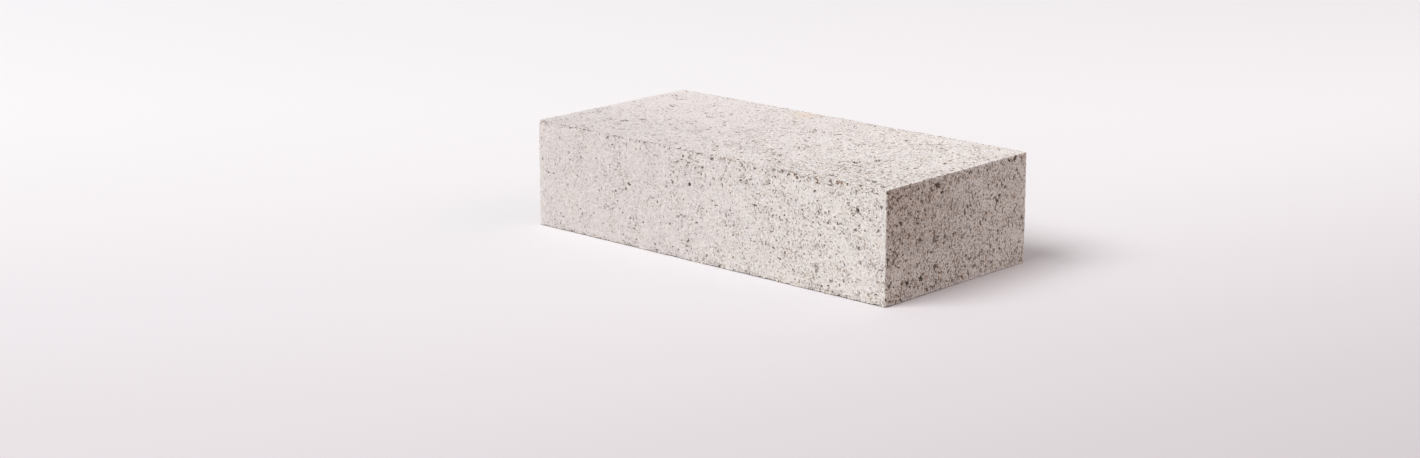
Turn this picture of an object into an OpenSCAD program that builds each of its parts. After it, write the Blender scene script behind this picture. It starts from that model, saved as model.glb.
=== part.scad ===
// Solid building brick: one fired block with flat beds, no frog and no perforations.
// It lies on its lower bed. The origin is the centre of that bed, +X runs along the length,
// +Y runs from the front long face to the back long face, and +Z points up. Millimetres.

/* [Brick] */
// Length of the brick, from one end face to the other
brick_length = 210; // [120:1:300]
// Width of the brick, from the front long face to the back long face
brick_width = 100; // [60:1:160]
// Height of the brick, from the lower bed to the upper bed
brick_height = 51; // [30:1:100]

/* [Arrises] */
// Radius of the four upright arrises, where the long faces meet the end faces
upright_arris_radius = 0.8; // [0.4:0.1:5]
// Radius of the four long arrises, where the long faces meet the beds
long_arris_radius = 1.6; // [0.4:0.1:5]
// Radius of the four short arrises, where the end faces meet the beds
short_arris_radius = 1.0; // [0.4:0.1:5]

/* [Hidden] */
// Colour of the pale fired body
body_color = [0.86, 0.83, 0.81];
// Facets that a preview draws on each full circle
$fn = 48;

// Rectangle centred on the origin, with its four corners rounded to one radius
module rounded_rectangle(size_x, size_y, radius) {
    square([size_x - 2 * radius, size_y], center = true);
    square([size_x, size_y - 2 * radius], center = true);
    for (side_x = [-1, 1], side_y = [-1, 1])
        translate([side_x * (size_x / 2 - radius), side_y * (size_y / 2 - radius)])
            circle(r = radius);
}

// Upright block over the plan outline, which rounds the upright arrises
module plan_block() {
    linear_extrude(height = brick_height)
        rounded_rectangle(brick_length, brick_width, upright_arris_radius);
}

// Block drawn along the length over the end outline, which rounds the long arrises
module lengthwise_block() {
    translate([0, 0, brick_height / 2])
        rotate([90, 0, 90])
            linear_extrude(height = brick_length, center = true)
                rounded_rectangle(brick_width, brick_height, long_arris_radius);
}

// Block drawn across the width over the side outline, which rounds the short arrises
module crosswise_block() {
    translate([0, 0, brick_height / 2])
        rotate([90, 0, 0])
            linear_extrude(height = brick_width, center = true)
                rounded_rectangle(brick_length, brick_height, short_arris_radius);
}

// The brick is what the three blocks have in common
module brick() {
    color(body_color)
        intersection() {
            plan_block();
            lengthwise_block();
            crosswise_block();
        }
}

brick();
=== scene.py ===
"""Looks of one solid recycled brick, built round its packed construction model.

The construction model gives the size and the place. This file models the fired body again as a
fine mesh, opens its pores, wears its arrises, dresses it in one mineral finish, and sets it on a
pale floor in soft light. Lengths are in metres, and in millimetres where a name ends in _mm.
"""

from __future__ import annotations

import functools
import logging
import math
from dataclasses import dataclass, field
from enum import Enum

import bpy
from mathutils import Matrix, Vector

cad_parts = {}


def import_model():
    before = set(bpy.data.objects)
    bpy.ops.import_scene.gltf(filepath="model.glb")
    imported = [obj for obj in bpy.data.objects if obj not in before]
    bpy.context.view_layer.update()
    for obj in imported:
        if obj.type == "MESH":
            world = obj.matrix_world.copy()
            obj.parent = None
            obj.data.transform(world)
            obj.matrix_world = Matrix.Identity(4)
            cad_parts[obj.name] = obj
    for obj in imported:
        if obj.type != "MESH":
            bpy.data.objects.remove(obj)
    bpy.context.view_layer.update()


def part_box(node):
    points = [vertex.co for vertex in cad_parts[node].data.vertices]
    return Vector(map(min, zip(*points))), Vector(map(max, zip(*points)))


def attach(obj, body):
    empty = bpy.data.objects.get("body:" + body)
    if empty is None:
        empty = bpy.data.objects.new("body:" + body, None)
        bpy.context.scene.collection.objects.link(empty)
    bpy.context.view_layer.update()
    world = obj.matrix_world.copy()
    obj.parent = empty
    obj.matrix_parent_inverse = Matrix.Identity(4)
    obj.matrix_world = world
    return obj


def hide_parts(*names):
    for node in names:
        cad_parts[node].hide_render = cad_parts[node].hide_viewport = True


log = logging.getLogger("brick")

Rgb = tuple[float, float, float]
Triple = tuple[float, float, float]

MM = 0.001
REST_PLACE = "rest_mm"

# The colour sockets of a Mix node, by number, because their names repeat.
MIX_FIRST, MIX_SECOND, MIX_RESULT = 6, 7, 2


class Axis(Enum):
    """The three directions of the brick."""

    LENGTH = 0
    WIDTH = 1
    HEIGHT = 2


# ---------------------------------------------------------------------------------------------
# Node trees written as expressions
# ---------------------------------------------------------------------------------------------


class Signal:
    """A socket of a node tree whose arithmetic is written with Python's operators."""

    def __init__(self, board: Board, socket: bpy.types.NodeSocket) -> None:
        """Wraps an output socket of a node on that board."""
        self.board = board
        self.socket = socket

    def math(self, operation: str, *others: Signal | float, first: float | None = None) -> Signal:
        """Adds a Math node.

        Args:
            operation: The Math node's operation.
            others: The operands that follow this signal, or that precede it where first is set.
            first: An operand that goes before this signal.

        Returns:
            The node's value.
        """
        operands = ([] if first is None else [first]) + [self, *others]
        return self.board.add("ShaderNodeMath", {"operation": operation}, dict(enumerate(operands)))

    def __add__(self, other: Signal | float) -> Signal:
        """Returns this signal plus another."""
        return self.math("ADD", other)

    def __radd__(self, other: float) -> Signal:
        """Returns a number plus this signal."""
        return self.math("ADD", other)

    def __sub__(self, other: Signal | float) -> Signal:
        """Returns this signal less another."""
        return self.math("SUBTRACT", other)

    def __rsub__(self, other: float) -> Signal:
        """Returns a number less this signal."""
        return self.math("SUBTRACT", first=other)

    def __mul__(self, other: Signal | float) -> Signal:
        """Returns this signal times another."""
        return self.math("MULTIPLY", other)

    def __rmul__(self, other: float) -> Signal:
        """Returns a number times this signal."""
        return self.math("MULTIPLY", other)

    def __truediv__(self, other: Signal | float) -> Signal:
        """Returns this signal over another."""
        return self.math("DIVIDE", other)

    def least(self, other: Signal | float) -> Signal:
        """Returns the smaller of this signal and another."""
        return self.math("MINIMUM", other)

    def most(self, other: Signal | float) -> Signal:
        """Returns the larger of this signal and another."""
        return self.math("MAXIMUM", other)

    def size(self) -> Signal:
        """Returns this signal without its sign."""
        return self.math("ABSOLUTE")

    def ramp(self, low: float, high: float, start: float = 0.0, end: float = 1.0) -> Signal:
        """Eases from start, where the signal is low, to end, where it is high.

        Args:
            low: Where the ease begins. It may be above high.
            high: Where the ease stops.
            start: The value at low.
            end: The value at high.

        Returns:
            The eased value.
        """
        sockets = {"Value": self, "From Min": low, "From Max": high, "To Min": start, "To Max": end}
        return self.board.add("ShaderNodeMapRange", {"interpolation_type": "SMOOTHSTEP"}, sockets)


class Board:
    """A node tree that new nodes are added to."""

    def __init__(self, tree: bpy.types.NodeTree) -> None:
        """Keeps the tree that nodes are added to."""
        self.tree = tree

    def add(
        self,
        kind: str,
        settings: dict[str, object] | None = None,
        sockets: dict[str | int, object] | None = None,
        output: str | int = 0,
    ) -> Signal:
        """Adds one node.

        Args:
            kind: The node's type.
            settings: Properties of the node, set before its sockets.
            sockets: Values or signals of its input sockets, by name or number.
            output: The output socket to return, by name or number.

        Returns:
            The chosen output, or a signal with no socket where the node has none.
        """
        node = self.tree.nodes.new(kind)
        for name, value in (settings or {}).items():
            setattr(node, name, value)
        for key, value in (sockets or {}).items():
            if isinstance(value, Signal):
                self.tree.links.new(value.socket, node.inputs[key])
            else:
                node.inputs[key].default_value = value
        return Signal(self, node.outputs[output] if node.outputs else None)

    def other(self, signal: Signal, output: str | int) -> Signal:
        """Returns another output of the node that a signal comes from."""
        return Signal(self, signal.socket.node.outputs[output])

    def part(self, vector: Signal, axis: Axis) -> Signal:
        """Returns one component of a vector."""
        split = self.add("ShaderNodeSeparateXYZ", None, {0: vector})
        return self.other(split, axis.value)

    def vector(self, operation: str, first: Signal, second: object) -> Signal:
        """Returns a Vector Math node's vector, from a vector and a vector or a scale."""
        slot = "Scale" if operation == "SCALE" else 1
        return self.add("ShaderNodeVectorMath", {"operation": operation}, {0: first, slot: second})

    def near(self, place: Signal, centre: Triple, reach: float) -> Signal:
        """Returns 1 at a centre, easing to 0 at its reach."""
        settings = {"operation": "DISTANCE"}
        away = self.add("ShaderNodeVectorMath", settings, {0: place, 1: centre}, "Value")
        return away.ramp(reach, 0.0)

    def backdrop(self) -> Signal:
        """Returns 1 for what is seen directly, mirrored or through glass, and 0 for scattered light."""
        path = self.add("ShaderNodeLightPath", None, None, "Is Camera Ray")
        mirrored, through = (self.other(path, f"Is {kind} Ray") for kind in ("Glossy", "Transmission"))
        return path.most(mirrored).most(through)

    def blend(self, amount: Signal | float, first: object, second: object) -> Signal:
        """Mixes two colours, from the first at 0 to the second at 1."""
        colours = {MIX_FIRST: first, MIX_SECOND: second}
        for slot, colour in colours.items():
            if isinstance(colour, tuple):
                colours[slot] = (*colour, 1.0)
        return self.add("ShaderNodeMix", {"data_type": "RGBA"}, {0: amount, **colours}, MIX_RESULT)


def cleared_board(owner: bpy.types.Material | bpy.types.World) -> Board:
    """Gives a material or a world an empty node tree, and returns its board."""
    owner.use_nodes = True
    owner.node_tree.nodes.clear()
    return Board(owner.node_tree)


@dataclass(frozen=True)
class Ease:
    """A smooth step from start, where a signal is low, to end, where it is high."""

    low: float
    high: float
    start: float = 0.0
    end: float = 1.0

    def of(self, signal: Signal) -> Signal:
        """Returns the step's value for a signal."""
        return signal.ramp(self.low, self.high, self.start, self.end)


@dataclass(frozen=True)
class Grain:
    """A noise in the body: the size of its blotches, its finer layers and how strong each is."""

    size_mm: float
    layers: float = 0.0
    roughness: float = 0.5

    def over(self, board: Board, place: Signal) -> Signal:
        """Returns the noise at a place in millimetres, about 0.5 on average and between 0 and 1."""
        sockets = {
            "Vector": place,
            "Scale": 1 / self.size_mm,
            "Detail": self.layers,
            "Roughness": self.roughness,
        }
        return board.add("ShaderNodeTexNoise", None, sockets)


# ---------------------------------------------------------------------------------------------
# The body: where it is open, worn or broken
# ---------------------------------------------------------------------------------------------


@dataclass(frozen=True)
class Pores:
    """Round pores that gas left in the body, cut open by its faces."""

    spacing_mm: float
    least_radius_mm: float
    most_radius_mm: float
    share_tight: float
    share_open: float
    present: Ease = Ease(-0.02, 0.02)

    def openness(self, board: Board, place: Signal, density: Signal) -> Signal:
        """Says how far inside a pore each place lies.

        Args:
            board: The tree that the nodes go to.
            place: The warped place, in millimetres.
            density: 0 where the body is tight and 1 where it is open.

        Returns:
            0 outside the pores, rising to at most 1 at their centres.
        """
        sockets = {"Vector": place, "Scale": 1 / self.spacing_mm, "Randomness": 1.0}
        distance = board.add("ShaderNodeTexVoronoi", None, sockets)
        chance = board.add("ShaderNodeSeparateXYZ", None, {0: board.other(distance, "Color")})
        draw = board.other(chance, 1)
        spread = self.most_radius_mm - self.least_radius_mm
        radius = self.least_radius_mm + spread * draw * draw
        share = self.share_tight + (self.share_open - self.share_tight) * density
        present = self.present.of(share - chance)
        reach = distance * self.spacing_mm / radius
        return (1 - reach * reach).most(0.0) * present


@dataclass(frozen=True)
class Crumble:
    """Ragged pits where grains broke out of the face, few in tight paste and many in open paste."""

    grain: Grain
    level_tight: float
    level_open: float
    lip: float

    def excess(self, board: Board, place: Signal, density: Signal) -> Signal:
        """Says how far each place is beyond the brink of a ragged pit.

        Args:
            board: The tree that the nodes go to.
            place: The place, in millimetres.
            density: 0 where the body is tight and 1 where it is open.

        Returns:
            Above 0 inside the pits and below 0 outside them, in the noise's own unit.
        """
        grains = self.grain.over(board, place)
        return self.level_tight + (self.level_open - self.level_tight) * density - grains

    def openness(self, excess: Signal) -> Signal:
        """Eases an excess from 0 at the brink of a pit to 1 inside it."""
        return excess.ramp(0.0, self.lip)


@dataclass(frozen=True)
class Spot:
    """A small place where the body differs from what is round it."""

    centre_mm: Triple
    reach_mm: float
    strength: float = 1.0

    def weight(self, board: Board, place: Signal) -> Signal:
        """Returns the spot's strength at its centre, easing to nothing at its reach."""
        return self.strength * board.near(place, self.centre_mm, self.reach_mm)


def widest_weight(spots: tuple[Spot, ...], board: Board, place: Signal) -> Signal:
    """Returns the strongest of several spots' weights."""
    weights = [spot.weight(board, place) for spot in spots]
    return functools.reduce(Signal.most, weights)


@dataclass(frozen=True)
class Openness:
    """How open the body is in each of its regions, as shares that add up."""

    size_mm: Triple
    patch_grain: Grain = Grain(12.0, 2.0, 0.6)
    patchy: Ease = Ease(0.34, 0.98)
    drift_share: float = 0.26
    bed_calm: float = 0.3
    open_edge: Ease = Ease(2.6, 0.4)
    open_share: float = 0.38
    ragged_share: float = 0.23
    ragged_bed_calm: float = 0.7
    tight_edge: Ease = Ease(3.2, 0.8)
    tight_share: float = 0.45
    crisp_edge: Ease = Ease(1.3, 0.4)
    crisp_share: float = 0.50
    end_share: float = 0.40
    end_frontward: float = 0.36
    bed_share: float = 0.27
    bed_frontward: float = 0.07
    bed_drift: float = 0.09
    band_rightward: Ease = Ease(-20.0, 60.0)
    band_frontward: Ease = Ease(20.0, -20.0, 0.3, 1.0)
    band_upward: Ease = Ease(15.0, 35.0, 0.3, 1.0)
    band_reach: Ease = Ease(5.5, 0.5)

    def ragged(self, board: Board, place: Signal, arris: dict[Axis, Signal]) -> Signal:
        """Returns how much a place lies in the ragged band at the right of the upper front arris."""
        rightward = self.band_rightward.of(board.part(place, Axis.LENGTH))
        frontward = self.band_frontward.of(board.part(place, Axis.WIDTH))
        upward = self.band_upward.of(board.part(place, Axis.HEIGHT))
        return rightward * frontward * upward * self.band_reach.of(arris[Axis.LENGTH])

    def density(
        self,
        board: Board,
        place: Signal,
        face: dict[Axis, Signal],
        arris: dict[Axis, Signal],
        ragged: Signal,
    ) -> Signal:
        """Says how open the body is.

        It is patchy, more open towards the right end, on the ends, along the long arrises and in
        the ragged band, and tight beside the other arrises.

        Args:
            board: The tree that the nodes go to.
            place: The place, in millimetres.
            face: How much a place belongs to the face square to each axis.
            arris: How far a place is from the arrises along each axis, in millimetres.
            ragged: How much a place lies in the ragged band.

        Returns:
            About 0 where the body is tight and 1 where it is open.
        """
        half_length, half_width = (0.5 * self.size_mm[axis.value] for axis in (Axis.LENGTH, Axis.WIDTH))
        drift = board.part(place, Axis.LENGTH).ramp(-half_length, half_length)
        frontward = board.part(place, Axis.WIDTH).ramp(half_width, -half_width)
        patches = self.patch_grain.over(board, place)
        end_edge = arris[Axis.WIDTH].least(arris[Axis.HEIGHT])
        on_end, on_bed = face[Axis.LENGTH], face[Axis.HEIGHT]
        return (
            self.patchy.of(patches + self.drift_share * drift) * (1 - self.bed_calm * on_bed)
            + self.open_share * self.open_edge.of(arris[Axis.LENGTH])
            + self.ragged_share * ragged * (1 - self.ragged_bed_calm * on_bed)
            - self.tight_share * self.tight_edge.of(end_edge) * (1 - on_end)
            - self.crisp_share * self.crisp_edge.of(end_edge) * on_end
            + on_end * (self.end_share + self.end_frontward * frontward)
            + on_bed * (self.bed_share + self.bed_frontward * frontward + self.bed_drift * drift)
        )


@dataclass(frozen=True)
class BodyState:
    """What the body's field says at a place, as signals on one board."""

    place: Signal
    warped: Signal
    face: dict[Axis, Signal]
    arris: dict[Axis, Signal]
    density: Signal
    pores: Signal
    pits: Signal
    halo: Signal
    rust: Signal


@dataclass(frozen=True)
class BodyField:
    """The open and worn places of the body, as values over the place in millimetres."""

    size_mm: Triple
    pores: Pores = Pores(3.2, 0.30, 0.95, 0.03, 0.34)
    pits: Crumble = Crumble(Grain(1.45, 2.0, 0.62), 0.314, 0.378, 0.07)
    hollows: Crumble = Crumble(Grain(2.3, 2.0, 0.60), 0.336, 0.394, 0.035)
    pinholes: Crumble = Crumble(Grain(0.76, 1.0, 0.60), 0.31, 0.41, 0.08)
    grain_draw: Triple = (0.93, 1.0, 0.84)
    warp_mm: float = 1.1
    warp_grain: Grain = Grain(1.1, 1.0)
    on_face: Ease = Ease(0.7, 0.1)
    crumbling_rise: float = 2.2
    halo: Ease = Ease(-0.05, 0.0)
    gouge_rise: float = 0.30
    # How much the gouges count as pores: they sink further, and take the dark pore colour as painted shade.
    gouge_depth_and_shade: float = 0.7
    rust_grain: Grain = Grain(5.0, 2.0, 0.6)
    rust_band: Ease = Ease(0.48, 0.72)
    rust_least: float = 0.5
    rust_open: float = 0.3
    rust_ragged: float = 1.4
    rust_most: float = 1.3
    gouges: tuple[Spot, ...] = (
        Spot((105.0, -15.0, 47.0), 2.4),
        Spot((105.0, -12.0, 43.5), 2.1),
        Spot((105.0, 27.0, 34.0), 1.5),
        Spot((105.0, 30.0, 34.5), 1.5),
        Spot((105.0, 28.5, 32.5), 1.4),
        Spot((105.0, 41.0, 50.0), 2.5),
        Spot((105.0, 36.5, 49.5), 1.8),
        Spot((105.0, -34.0, 7.5), 1.8),
        Spot((105.0, -25.0, 8.0), 2.4),
        Spot((105.0, -16.0, 11.0), 1.8),
        Spot((105.0, -40.0, 35.0), 1.8),
        Spot((-7.5, -50.0, 35.5), 1.5),
        Spot((-45.0, -50.0, 29.0), 1.5, 0.6),
        Spot((89.0, -50.0, 40.0), 1.8),
        Spot((62.0, -17.0, 51.0), 3.5),
        Spot((67.0, -8.0, 51.0), 3.0),
        Spot((91.0, -40.0, 51.0), 3.4),
        Spot((99.0, -45.0, 51.0), 3.0),
        Spot((-70.0, -16.0, 51.0), 2.9),
        Spot((-74.0, -22.0, 51.0), 3.4),
        Spot((20.0, 22.0, 51.0), 2.9),
        Spot((51.0, 32.0, 51.0), 2.9),
    )

    def warped(self, board: Board, place: Signal) -> Signal:
        """Pushes a place about a little, so that round pores become ragged."""
        shake = board.other(self.warp_grain.over(board, place), "Color")
        centred = board.vector("SUBTRACT", shake, (0.5, 0.5, 0.5))
        return board.vector("ADD", place, board.vector("SCALE", centred, 2 * self.warp_mm))

    def drawn(self, board: Board, place: Signal) -> Signal:
        """Scales a place, so that what broke out is longest upwards and shortest across."""
        return board.vector("MULTIPLY", place, self.grain_draw)

    def centred(self, board: Board, place: Signal) -> Signal:
        """Returns a place counted from the middle of the brick, in millimetres."""
        return board.vector("SUBTRACT", place, (0.0, 0.0, self.size_mm[Axis.HEIGHT.value] / 2))

    def insets(self, board: Board, place: Signal) -> dict[Axis, Signal]:
        """Returns how far a place lies inside the end, long and bed faces, in millimetres."""
        middle = self.centred(board, place)
        return {axis: self.size_mm[axis.value] / 2 - board.part(middle, axis).size() for axis in Axis}

    def outward(self, board: Board, place: Signal, turn_mm: float) -> Signal:
        """Returns the direction out of the body, which turns evenly within a distance of an arris."""
        core = tuple(side / 2 - turn_mm for side in self.size_mm)
        middle = self.centred(board, place)
        held = board.vector("MINIMUM", middle, core)
        held = board.vector("MAXIMUM", held, tuple(-side for side in core))
        away = board.vector("SUBTRACT", middle, held)
        return board.add("ShaderNodeVectorMath", {"operation": "NORMALIZE"}, {0: away})

    def read(self, board: Board, place: Signal) -> BodyState:
        """Adds the nodes that read the field.

        Args:
            board: The tree that the nodes go to.
            place: The place on the surface before it was sunk, in millimetres.

        Returns:
            The field's values there.
        """
        inset = self.insets(board, place)
        face = {axis: self.on_face.of(inset[axis]) for axis in Axis}
        arris = {
            Axis.LENGTH: inset[Axis.WIDTH].most(inset[Axis.HEIGHT]),
            Axis.WIDTH: inset[Axis.LENGTH].most(inset[Axis.HEIGHT]),
            Axis.HEIGHT: inset[Axis.LENGTH].most(inset[Axis.WIDTH]),
        }
        openness = Openness(self.size_mm)
        ragged = openness.ragged(board, place, arris)
        density = openness.density(board, place, face, arris, ragged)
        warped = self.warped(board, place)
        gouged = widest_weight(self.gouges, board, warped)
        drawn = self.drawn(board, place)
        excess = self.pits.excess(board, drawn, density) + self.gouge_rise * gouged
        crumbling = face[Axis.HEIGHT].most((self.crumbling_rise * ragged).least(1.0))
        hollowed = self.hollows.excess(board, drawn, density) + (crumbling - 1)
        pits = self.pits.openness(excess).most(self.hollows.openness(hollowed))
        # In the gouges the pores rise, which sinks the surface and paints shade there in the dark pore
        # colour.
        pores = self.pores.openness(board, warped, density).most(self.gouge_depth_and_shade * gouged * pits)
        halo = self.halo.of(excess)
        rusting = self.rust_least + self.rust_open * density + self.rust_ragged * ragged
        rust = self.rust_band.of(self.rust_grain.over(board, place)) * rusting.least(self.rust_most)
        return BodyState(place, warped, face, arris, density, pores, pits, halo, rust)


@dataclass
class Relief:
    """Turns the body's field into depth, and keeps the place from before for the finish."""

    field: BodyField
    base_mm: float = 0.05
    wave_mm: float = 0.20
    wave_grain: Grain = Grain(38.0, 1.0)
    wave: Ease = Ease(0.35, 0.65)
    skin_mm: float = 0.11
    skin_grain: Grain = Grain(3.4)
    skin: Ease = Ease(0.30, 0.75)
    pore_mm: float = 1.0
    pit_mm: float = 0.75
    chips: Pores = Pores(6.0, 0.7, 1.9, 0.25, 0.45)
    chip_mm: float = 0.6
    wear_mm: dict[Axis, float] = field(
        default_factory=lambda: {Axis.LENGTH: 0.42, Axis.WIDTH: 0.13, Axis.HEIGHT: 0.13}
    )
    wear_grain: Grain = Grain(4.0, 1.0)
    worn_patch: Ease = Ease(0.40, 0.68)
    wear_frontward: Ease = Ease(30.0, -30.0, 0.4, 1.0)
    wear_reach: Ease = Ease(2.4, 0.2)
    turn_mm: float = 3.0

    def wear(self, board: Board, state: BodyState) -> Signal:
        """Returns how deep the arrises are worn and chipped, in millimetres."""
        most = max(self.wear_mm.values())
        patch = self.worn_patch.of(self.wear_grain.over(board, state.place))
        chipped = self.chips.openness(board, state.warped, state.density)
        worn = 0.0
        frontward = self.wear_frontward.of(board.part(state.place, Axis.WIDTH))
        for axis, depth_mm in self.wear_mm.items():
            edge = frontward * self.wear_reach.of(state.arris[axis])
            worn = edge * (depth_mm * patch + self.chip_mm * (depth_mm / most) * chipped) + worn
        return worn

    def depth(self, board: Board, state: BodyState) -> Signal:
        """Returns how deep the surface lies below the nominal one, in millimetres."""
        wave = self.wave.of(self.wave_grain.over(board, state.place))
        skin = self.skin.of(self.skin_grain.over(board, state.place))
        return (
            self.base_mm
            + self.wave_mm * wave
            + self.skin_mm * skin
            + self.pore_mm * state.pores
            + self.pit_mm * state.pits
            + self.wear(board, state)
        )

    def tree(self) -> bpy.types.NodeTree:
        """Builds the geometry node group that sinks each point by its depth."""
        tree = bpy.data.node_groups.new("body_relief", "GeometryNodeTree")
        tree.is_modifier = True
        for way in ("INPUT", "OUTPUT"):
            tree.interface.new_socket("Geometry", in_out=way, socket_type="NodeSocketGeometry")
        board = Board(tree)
        mesh = board.add("NodeGroupInput")
        place = board.vector("SCALE", board.add("GeometryNodeInputPosition"), 1 / MM)
        kept = board.add(
            "GeometryNodeStoreNamedAttribute",
            {"data_type": "FLOAT_VECTOR", "domain": "POINT"},
            {"Geometry": mesh, "Name": REST_PLACE, "Value": place},
        )
        sink = self.depth(board, self.field.read(board, place)) * -MM
        offset = board.vector("SCALE", self.field.outward(board, place, self.turn_mm), sink)
        moved = board.add("GeometryNodeSetPosition", None, {"Geometry": kept, "Offset": offset})
        board.add("NodeGroupOutput", None, {"Geometry": moved})
        return tree


# ---------------------------------------------------------------------------------------------
# Modelling
# ---------------------------------------------------------------------------------------------


def deselect_all() -> None:
    """Leaves object mode with nothing selected."""
    for item in bpy.context.selected_objects:
        item.select_set(False)


def apply_modifier(piece: bpy.types.Object, kind: str, **settings: object) -> None:
    """Adds a modifier to a piece and applies it at once.

    Args:
        piece: The active piece.
        kind: The modifier's type.
        settings: Properties of the modifier.
    """
    modifier = piece.modifiers.new(kind.lower(), kind)
    for name, value in settings.items():
        setattr(modifier, name, value)
    bpy.ops.object.modifier_apply(modifier=modifier.name)


@dataclass
class FiredBody:
    """The brick itself: one fired block with rounded arrises, open pores and worn edges."""

    low: Vector
    high: Vector
    upright_arris: float = 0.8 * MM
    long_arris: float = 1.6 * MM
    short_arris: float = 1.0 * MM
    coarse_step: float = 5.0 * MM
    halvings: int = 4
    most_triangles: int = 197_000
    closest: float = 0.01 * MM
    crisp_deg: float = 24.0
    quick_fewer: int = 2
    arris_segments: int = 3
    long_share: float = 0.8
    straight_share: float = 0.999

    @property
    def size(self) -> Vector:
        """The size of the block."""
        return self.high - self.low

    @property
    def size_mm(self) -> Triple:
        """The size of the block, in millimetres."""
        return tuple(side / MM for side in self.size)

    def block(self) -> bpy.types.Object:
        """Adds the plain block at its size and place."""
        deselect_all()
        bpy.ops.mesh.primitive_cube_add(size=1.0, location=(self.low + self.high) / 2)
        piece = bpy.context.active_object
        piece.name = piece.data.name = "fired_brick"
        piece.scale = self.size
        bpy.ops.object.transform_apply(location=True, rotation=True, scale=True)
        return piece

    def select_edges(self, piece: bpy.types.Object, axis: Axis, least: float) -> None:
        """Selects, in edit mode, the edges that run along an axis and are long enough.

        Args:
            piece: The piece in edit mode.
            axis: The direction of the edges.
            least: The least length that counts.
        """
        bpy.ops.mesh.select_all(action="DESELECT")
        bpy.ops.object.mode_set(mode="OBJECT")
        points = piece.data.vertices
        for edge in piece.data.edges:
            run = points[edge.vertices[0]].co - points[edge.vertices[1]].co
            along = abs(run[axis.value])
            edge.select = along > least and along > self.straight_share * run.length
        bpy.ops.object.mode_set(mode="EDIT")

    def round_arrises(self, piece: bpy.types.Object) -> None:
        """Bevels the twelve arrises, each kind by its own radius, and joins the points that meet."""
        radii = {Axis.HEIGHT: self.upright_arris, Axis.LENGTH: self.long_arris, Axis.WIDTH: self.short_arris}
        for axis, radius in radii.items():
            self.select_edges(piece, axis, self.long_share * self.size[axis.value])
            bpy.ops.mesh.bevel(offset=radius, segments=self.arris_segments, affect="EDGES")
        bpy.ops.mesh.select_all(action="SELECT")
        bpy.ops.mesh.remove_doubles(threshold=self.closest)

    def divide(self, piece: bpy.types.Object) -> None:
        """Cuts the block's long edges into steps of about the coarse step."""
        for axis in Axis:
            length = self.size[axis.value]
            self.select_edges(piece, axis, self.long_share * length)
            bpy.ops.mesh.subdivide(number_cuts=round(length / self.coarse_step) - 1)

    def keep_inside(self, piece: bpy.types.Object) -> None:
        """Brings back the few points that the decimation moved out of the block's box."""
        for point in piece.data.vertices:
            point.co = [min(max(at, low), high) for at, low, high in zip(point.co, self.low, self.high)]

    def build(self) -> bpy.types.Object:
        """Models the whole body.

        Returns:
            The finished piece.
        """
        piece = self.block()
        bpy.ops.object.mode_set(mode="EDIT")
        bpy.ops.mesh.select_mode(type="EDGE")
        self.round_arrises(piece)
        self.divide(piece)
        bpy.ops.object.mode_set(mode="OBJECT")
        halvings = self.halvings - 0
        apply_modifier(piece, "SUBSURF", subdivision_type="SIMPLE", levels=halvings, render_levels=halvings)
        apply_modifier(piece, "NODES", node_group=Relief(BodyField(self.size_mm)).tree())
        triangles = 2 * len(piece.data.polygons)
        log.info("fine mesh: %d triangles", triangles)
        if triangles > self.most_triangles:
            apply_modifier(piece, "DECIMATE", ratio=self.most_triangles / triangles)
        self.keep_inside(piece)
        bpy.ops.object.shade_smooth_by_angle(angle=math.radians(self.crisp_deg))
        return piece


# ---------------------------------------------------------------------------------------------
# Finish
# ---------------------------------------------------------------------------------------------


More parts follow.
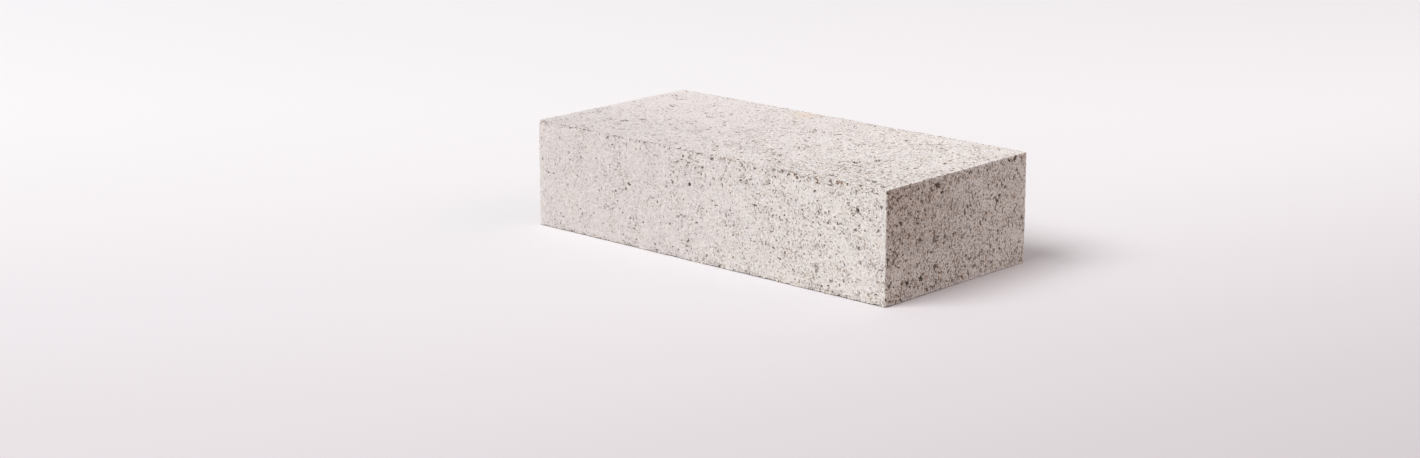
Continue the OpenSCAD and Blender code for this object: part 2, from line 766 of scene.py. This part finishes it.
@dataclass(frozen=True)
class FiredPaste:
    """Finish of the pale fired body, with its grain, pits, pores, specks and stains, and with light and
    shade painted into its colour: shade in the pits and pores, and light over the faces.
    """

    field: BodyField
    mauve: Rgb = (0.780, 0.735, 0.727)
    sand: Rgb = (0.866, 0.829, 0.807)
    umber: Rgb = (0.550, 0.452, 0.392)
    ochre: Rgb = (0.760, 0.640, 0.500)
    rust: Rgb = (0.700, 0.560, 0.430)
    # Colours inside the pits and pores: their brown and rusty lining, darkened further by painted shade.
    hollow_shade_and_lining: Rgb = (0.380, 0.292, 0.246)
    rusty_hollow_and_shade: Rgb = (0.440, 0.295, 0.190)
    pore: Rgb = (0.205, 0.155, 0.128)
    fleck: Rgb = (0.930, 0.895, 0.875)
    roughness: float = 0.92
    specular: float = 0.25
    fine_grain: Grain = Grain(1.15, 3.0, 0.72)
    grain_bump_mm: float = 0.25
    bump_least: float = 0.6
    bump_open: float = 0.9
    pit_bump_mm: float = 0.22
    cloud_grain: Grain = Grain(10.0, 3.0, 0.6)
    cloud_share: float = 0.5
    # Along the length, where light is painted: the paste pales towards the right end of the long face, and
    # the bed darkens a little there.
    rightward: Ease = Ease(-60.0, 90.0)
    painted_light_rightward_share: float = 0.5
    sandy: Ease = Ease(0.15, 0.85)
    frontward: Ease = Ease(20.0, -50.0)
    # How the umber painted shade rises up the end face, from its bottom to its top.
    end_painted_shade: Ease = Ease(5.0, 45.0, 0.12, 0.50)
    dirt_open: float = 0.05
    dirt_halo: float = 0.24
    rust_share: float = 0.26
    stained_cloud: Ease = Ease(0.35, 0.60)
    swing_least: float = 0.71
    swing_open: float = 0.60
    swing_bed: float = 0.12
    grain_tone: Ease = Ease(0.15, 0.85, -0.30, 0.25)
    cloud_tone: Ease = Ease(0.25, 0.75, -0.015, 0.015)
    # Painted light and shade on the bed: lighter towards the back, darker at the near left and towards the
    # right end.
    painted_light_backward: Ease = Ease(-50.0, 50.0, -0.036, 0.029)
    painted_shade_leftward: Ease = Ease(20.0, -90.0, 0.0, 0.065)
    painted_shade_rightward: float = 0.015
    # Painted light: the end face is lighter at its bottom, against the floor's shade there.
    painted_low_end_light: Ease = Ease(0.0, 26.0, 0.11, 0.0)
    fleck_least: float = 0.45
    fleck_open: float = 0.4
    fleck_grain: Ease = Ease(0.60, 0.71)
    pit_share: float = 0.69
    pit_open: float = 0.18
    # Painted shade: the pits on the end face are darker.
    pit_end_painted_shade: float = 0.14
    pinhole_share: float = 0.76
    pit_rim: Ease = Ease(0.0, 0.6)
    rusty_bed: float = 0.35
    pore_rim: Ease = Ease(0.05, 0.6)
    stains: tuple[Spot, ...] = (
        Spot((-20.0, 43.0, 51.0), 13.0, 0.55),
        Spot((-93.0, -44.0, 51.0), 8.0, 0.45),
    )

    def paste(self, board: Board, state: BodyState, cloud: Signal) -> Signal:
        """Builds the colour of the paste between its pits, with umber grime in the open paste, its rust and
        stains, and painted light: the paste pales towards the right end, and umber painted shade darkens the
        end face towards its top and its near side.

        Args:
            board: The material's board.
            state: The body's field.
            cloud: The noise of the clouding.

        Returns:
            The colour.
        """
        rightward = self.rightward.of(board.part(state.place, Axis.LENGTH))
        frontward = self.frontward.of(board.part(state.place, Axis.WIDTH))
        # Painted light: the paste pales and turns sandier towards the right end, mixed with the cloud's
        # random tone.
        sandy = self.sandy.of(self.cloud_share * cloud + self.painted_light_rightward_share * rightward)
        paste = board.blend(sandy, self.mauve, self.sand)
        # Painted shade: umber darkens the end face towards its top and its near side. Elsewhere the umber
        # follows the open paste and the brinks of the pits.
        upward = self.end_painted_shade.of(board.part(state.place, Axis.HEIGHT))
        dirt_and_painted_shade = state.density * (self.dirt_open + self.dirt_halo * state.halo)
        dirt_and_painted_shade = dirt_and_painted_shade + upward * frontward * state.face[Axis.LENGTH]
        paste = board.blend(dirt_and_painted_shade.most(0.0), paste, self.umber)
        paste = board.blend(self.rust_share * state.rust, paste, self.rust)
        stained = widest_weight(self.stains, board, state.place)
        return board.blend(stained * self.stained_cloud.of(cloud), paste, self.ochre)

    def tone(self, board: Board, state: BodyState, grain: Signal, cloud: Signal) -> Signal:
        """Says how much lighter or darker the paste is, by its grain and by where it lies, where it paints
        light and shade: on the bed lighter towards the back and darker at the near left and the right end,
        and on the end face lighter at the bottom.

        Args:
            board: The material's board.
            state: The body's field.
            grain: The fine grain's noise.
            cloud: The noise of the clouding.

        Returns:
            A factor of about 1.
        """
        along, across = board.part(state.place, Axis.LENGTH), board.part(state.place, Axis.WIDTH)
        on_end, on_bed = state.face[Axis.LENGTH], state.face[Axis.HEIGHT]
        swing = self.swing_least + self.swing_open * state.density - self.swing_bed * on_bed
        mottle = self.grain_tone.of(grain) + self.cloud_tone.of(cloud)
        # Painted light and shade on the bed, by where a place lies.
        painted_near_left_shade = self.frontward.of(across) * self.painted_shade_leftward.of(along)
        rightward = self.painted_shade_rightward * self.rightward.of(along)
        painted_bed_light = self.painted_light_backward.of(across) - painted_near_left_shade - rightward
        # Painted light at the bottom of the end face.
        painted_end_light = self.painted_low_end_light.of(board.part(state.place, Axis.HEIGHT))
        return 1 + swing * mottle + on_bed * painted_bed_light + on_end * painted_end_light

    def colour(self, board: Board, state: BodyState, grain: Signal, pinholes: Signal) -> Signal:
        """Builds the colour.

        Args:
            board: The material's board.
            state: The body's field.
            grain: The fine grain's noise.
            pinholes: How far inside a pinhole a place lies.

        Returns:
            The colour.
        """
        cloud = self.cloud_grain.over(board, state.place)
        paste = self.paste(board, state, cloud)
        paste = board.vector("SCALE", paste, self.tone(board, state, grain, cloud))
        flecked = (self.fleck_least + self.fleck_open * state.density) * self.fleck_grain.of(grain)
        paste = board.blend(flecked, paste, self.fleck)
        # Pits on the end face darker still: painted shade.
        end_pit_painted_shade = self.pit_end_painted_shade * state.face[Axis.LENGTH]
        # The pits take a dark colour: painted shade in the hollows, with their brown and rusty lining.
        pit_shade_and_lining = self.pit_share + self.pit_open * state.density.least(1.0) + end_pit_painted_shade
        pit_shade_and_lining = pit_shade_and_lining * self.pit_rim.of(state.pits)
        pit_shade_and_lining = pit_shade_and_lining.most((self.pinhole_share + end_pit_painted_shade) * self.pit_rim.of(pinholes))
        rusty = (state.rust + self.rusty_bed * state.face[Axis.HEIGHT]).least(1.0)
        paste = board.blend(pit_shade_and_lining, paste, board.blend(rusty, self.hollow_shade_and_lining, self.rusty_hollow_and_shade))
        # The pores take a near black colour: painted shade in them, with their brown lining.
        return board.blend(self.pore_rim.of(state.pores), paste, self.pore)

    def material(self) -> bpy.types.Material:
        """Builds the material."""
        material = bpy.data.materials.new("fired_paste")
        board = cleared_board(material)
        place = board.add("ShaderNodeAttribute", {"attribute_name": REST_PLACE}, None, "Vector")
        state = self.field.read(board, place)
        sunk = board.vector("SCALE", board.add("ShaderNodeTexCoord", None, None, "Object"), 1 / MM)
        excess = self.field.pinholes.excess(board, self.field.drawn(board, sunk), state.density)
        pinholes = self.field.pinholes.openness(excess)
        grain = self.fine_grain.over(board, sunk)
        coarse = self.grain_bump_mm * (self.bump_least + self.bump_open * state.density)
        height = coarse * grain - self.pit_bump_mm * state.pits.most(pinholes)
        bump = board.add("ShaderNodeBump", None, {"Strength": 1.0, "Distance": MM, "Height": height})
        finish = {
            "Base Color": self.colour(board, state, grain, pinholes),
            "Roughness": self.roughness,
            "Specular IOR Level": self.specular,
            "Normal": bump,
        }
        shader = board.add("ShaderNodeBsdfPrincipled", None, finish)
        board.add("ShaderNodeOutputMaterial", None, {"Surface": shader})
        return material


# ---------------------------------------------------------------------------------------------
# Studio
# ---------------------------------------------------------------------------------------------


def bearing(azimuth_deg: float, elevation_deg: float) -> Vector:
    """Returns a direction away from the brick. Azimuth 0 is the front and 90 the right end."""
    azimuth, elevation = math.radians(azimuth_deg), math.radians(elevation_deg)
    level = math.cos(elevation)
    return Vector((math.sin(azimuth) * level, -math.cos(azimuth) * level, math.sin(elevation)))


def aimed(name: str, data: bpy.types.ID, station: Vector, back: Vector) -> bpy.types.Object:
    """Adds a camera or a lamp to the scene.

    Args:
        name: Its name.
        data: The camera's or the lamp's data.
        station: Where it stands.
        back: The direction that it looks away from.

    Returns:
        The new object.
    """
    thing = bpy.data.objects.new(name, data)
    bpy.context.scene.collection.objects.link(thing)
    thing.location = station
    thing.rotation_mode = "QUATERNION"
    thing.rotation_quaternion = (-back).to_track_quat("-Z", "Y")
    return thing


@dataclass(frozen=True)
class CameraPlan:
    """Where the camera stands and looks. The station is counted from the near bottom corner."""

    station_in_widths: Triple = (6.329, -7.987, 2.974)
    azimuth_deg: float = 42.54
    elevation_deg: float = 14.50
    sensor: float = 36.0
    lens: float = 63.7
    clip: tuple[float, float] = (0.01, 50.0)

    def place(self, near_corner: Vector, width: float) -> None:
        """Adds the camera and makes it the scene's.

        Args:
            near_corner: The brick's bottom corner nearest to the camera.
            width: The brick's width.
        """
        data = bpy.data.cameras.new("camera")
        data.sensor_width, data.lens = self.sensor, self.lens
        data.clip_start, data.clip_end = self.clip
        station = near_corner + Vector(self.station_in_widths) * width
        back = bearing(self.azimuth_deg, self.elevation_deg)
        bpy.context.scene.camera = aimed("camera", data, station, back)


@dataclass(frozen=True)
class Lamp:
    """A soft square lamp that faces the brick."""

    name: str
    azimuth_deg: float
    elevation_deg: float
    distance: float
    side: float
    power: float
    colour: Rgb = (1.0, 1.0, 1.0)

    def place(self, target: Vector) -> None:
        """Adds the lamp, turned to its target."""
        data = bpy.data.lights.new(self.name, "AREA")
        data.shape, data.size = "SQUARE", self.side
        data.energy, data.color = self.power, self.colour
        back = bearing(self.azimuth_deg, self.elevation_deg)
        aimed(self.name, data, target + back * self.distance, back)


@dataclass(frozen=True)
class PaleFloor:
    """A matt floor that pales away from the camera and darkens to its right, as painted light and shade.
    What it throws back is more muted than it looks.
    """

    near: Rgb = (0.690, 0.655, 0.680)
    far: Rgb = (0.894, 0.886, 0.905)
    right: Rgb = (0.515, 0.488, 0.500)
    bounce: Rgb = (0.515, 0.470, 0.448)
    painted_far_light: Ease = Ease(-0.55, 0.35)
    painted_right_shade: Ease = Ease(0.0, 1.1)
    reach: float = 14.0

    def material(self, azimuth_deg: float) -> bpy.types.Material:
        """Builds the floor's material, for a camera at that azimuth."""
        material = bpy.data.materials.new("pale_floor")
        board = cleared_board(material)
        place = board.add("ShaderNodeTexCoord", None, None, "Object")
        turn = board.add(
            "ShaderNodeVectorRotate",
            {"rotation_type": "Z_AXIS"},
            {"Vector": place, "Angle": -math.radians(azimuth_deg)},
        )
        across, away = board.part(turn, Axis.LENGTH), board.part(turn, Axis.WIDTH)
        # Painted light and shade on the floor: paler far away, darker near and to the right.
        seen = board.blend(self.painted_far_light.of(away), self.near, self.far)
        seen = board.blend(self.painted_right_shade.of(across - away), seen, self.right)
        colour = board.blend(board.backdrop(), self.bounce, seen)
        matt = board.add("ShaderNodeBsdfDiffuse", None, {"Color": colour})
        board.add("ShaderNodeOutputMaterial", None, {"Surface": matt})
        return material

    def build(self, level: float, azimuth_deg: float) -> None:
        """Adds the floor at a level."""
        deselect_all()
        bpy.ops.mesh.primitive_plane_add(size=2 * self.reach, location=(0, 0, level))
        floor = bpy.context.active_object
        floor.name = "floor"
        floor.data.materials.append(self.material(azimuth_deg))


@dataclass(frozen=True)
class Studio:
    """The pale floor, the lamps, the even sky and the camera."""

    sky: Rgb = (0.955, 0.940, 0.938)
    sky_strength: float = 0.436
    sky_seen: float = 0.98
    lamps: tuple[Lamp, ...] = (
        Lamp("key", -21.0, 51.0, 6.0, 3.6, 305.0),
        Lamp("fill", 130.0, 30.0, 1.7, 1.4, 4.4, (1.0, 0.66, 0.61)),
    )
    floor: PaleFloor = field(default_factory=PaleFloor)
    camera: CameraPlan = field(default_factory=CameraPlan)

    def world(self) -> None:
        """Sets an even sky."""
        world = bpy.data.worlds.new("sky")
        board = cleared_board(world)
        strength = board.backdrop().ramp(0.0, 1.0, self.sky_strength, self.sky_seen)
        light = board.add("ShaderNodeBackground", None, {"Color": (*self.sky, 1.0), "Strength": strength})
        board.add("ShaderNodeOutputWorld", None, {"Surface": light})
        bpy.context.scene.world = world

    def build(self, low: Vector, high: Vector) -> None:
        """Sets the stage round a brick's box."""
        bpy.context.scene.view_settings.view_transform = "Standard"
        self.camera.place(Vector((high.x, low.y, low.z)), high.y - low.y)
        self.floor.build(low.z, self.camera.azimuth_deg)
        self.world()
        for lamp in self.lamps:
            lamp.place((low + high) / 2)


def main() -> None:
    """Builds the brick and its studio, and reports each piece."""
    logging.basicConfig(level=logging.INFO, format="%(name)s: %(message)s")
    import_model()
    low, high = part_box("brick")
    Studio().build(low, high)
    body = FiredBody(low, high)
    piece = body.build()
    piece.data.materials.clear()
    piece.data.materials.append(FiredPaste(BodyField(body.size_mm)).material())
    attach(piece, "root")
    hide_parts("brick")
    log.info("%s: %d faces", piece.name, len(piece.data.polygons))


if __name__ == "__main__":
    main()
